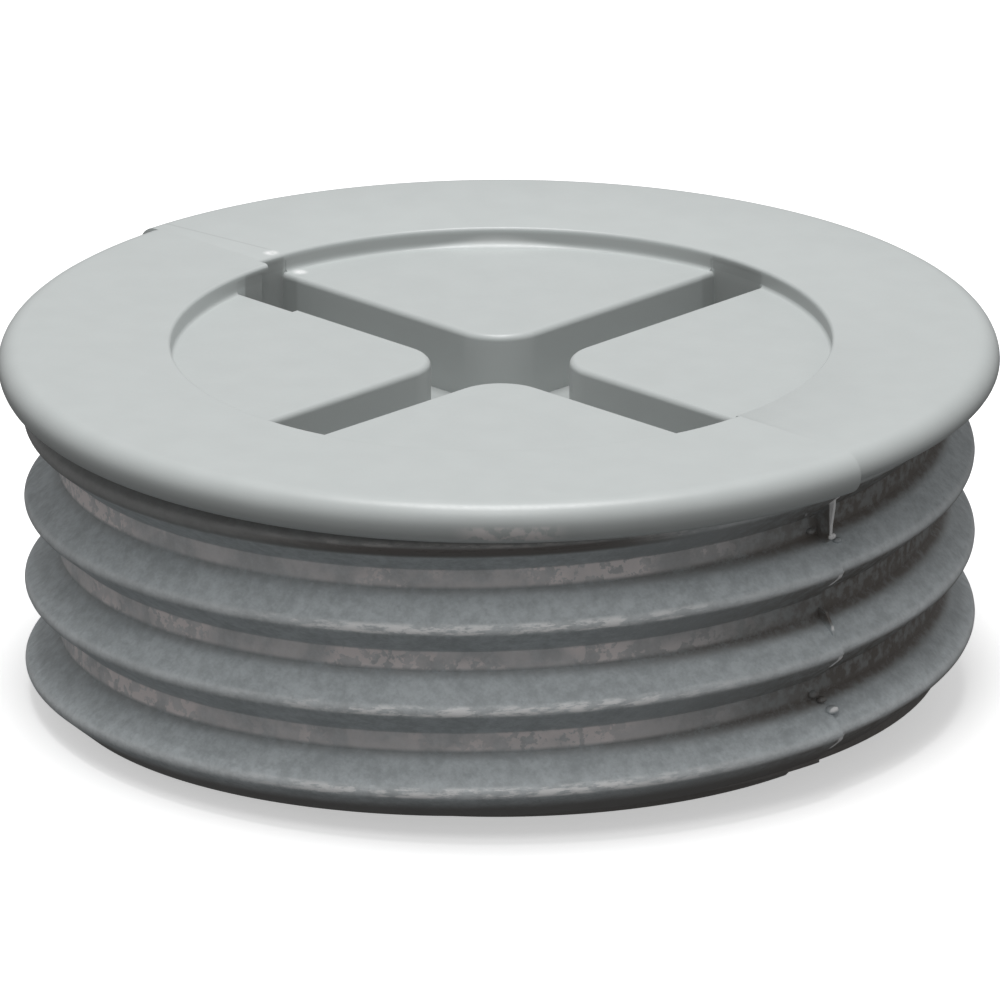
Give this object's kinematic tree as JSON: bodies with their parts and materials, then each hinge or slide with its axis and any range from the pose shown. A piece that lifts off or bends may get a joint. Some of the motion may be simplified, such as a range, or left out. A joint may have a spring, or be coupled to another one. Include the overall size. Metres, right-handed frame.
{
  "type": "closure plug",
  "caption": "Screw-in plastic closure plug with a thin round flange, a coarse external thread, a cross slot in a shallow top recess and a hollow underside.",
  "frame": {"origin": "centre of the open lower end, on the plug's axis", "axes": "+Z along the plug's axis towards the flange, +X along one arm of the cross slot, in the mould's parting plane"},
  "size_m": [0.016, 0.016, 0.0058],
  "materials": {
    "plug_plastic": "light grey moulded plastic, smooth on the top face and finely mottled on the thread"
  },
  "bodies": {
    "root": {"plug_body": "plug_plastic"}
  },
  "joints": []
}
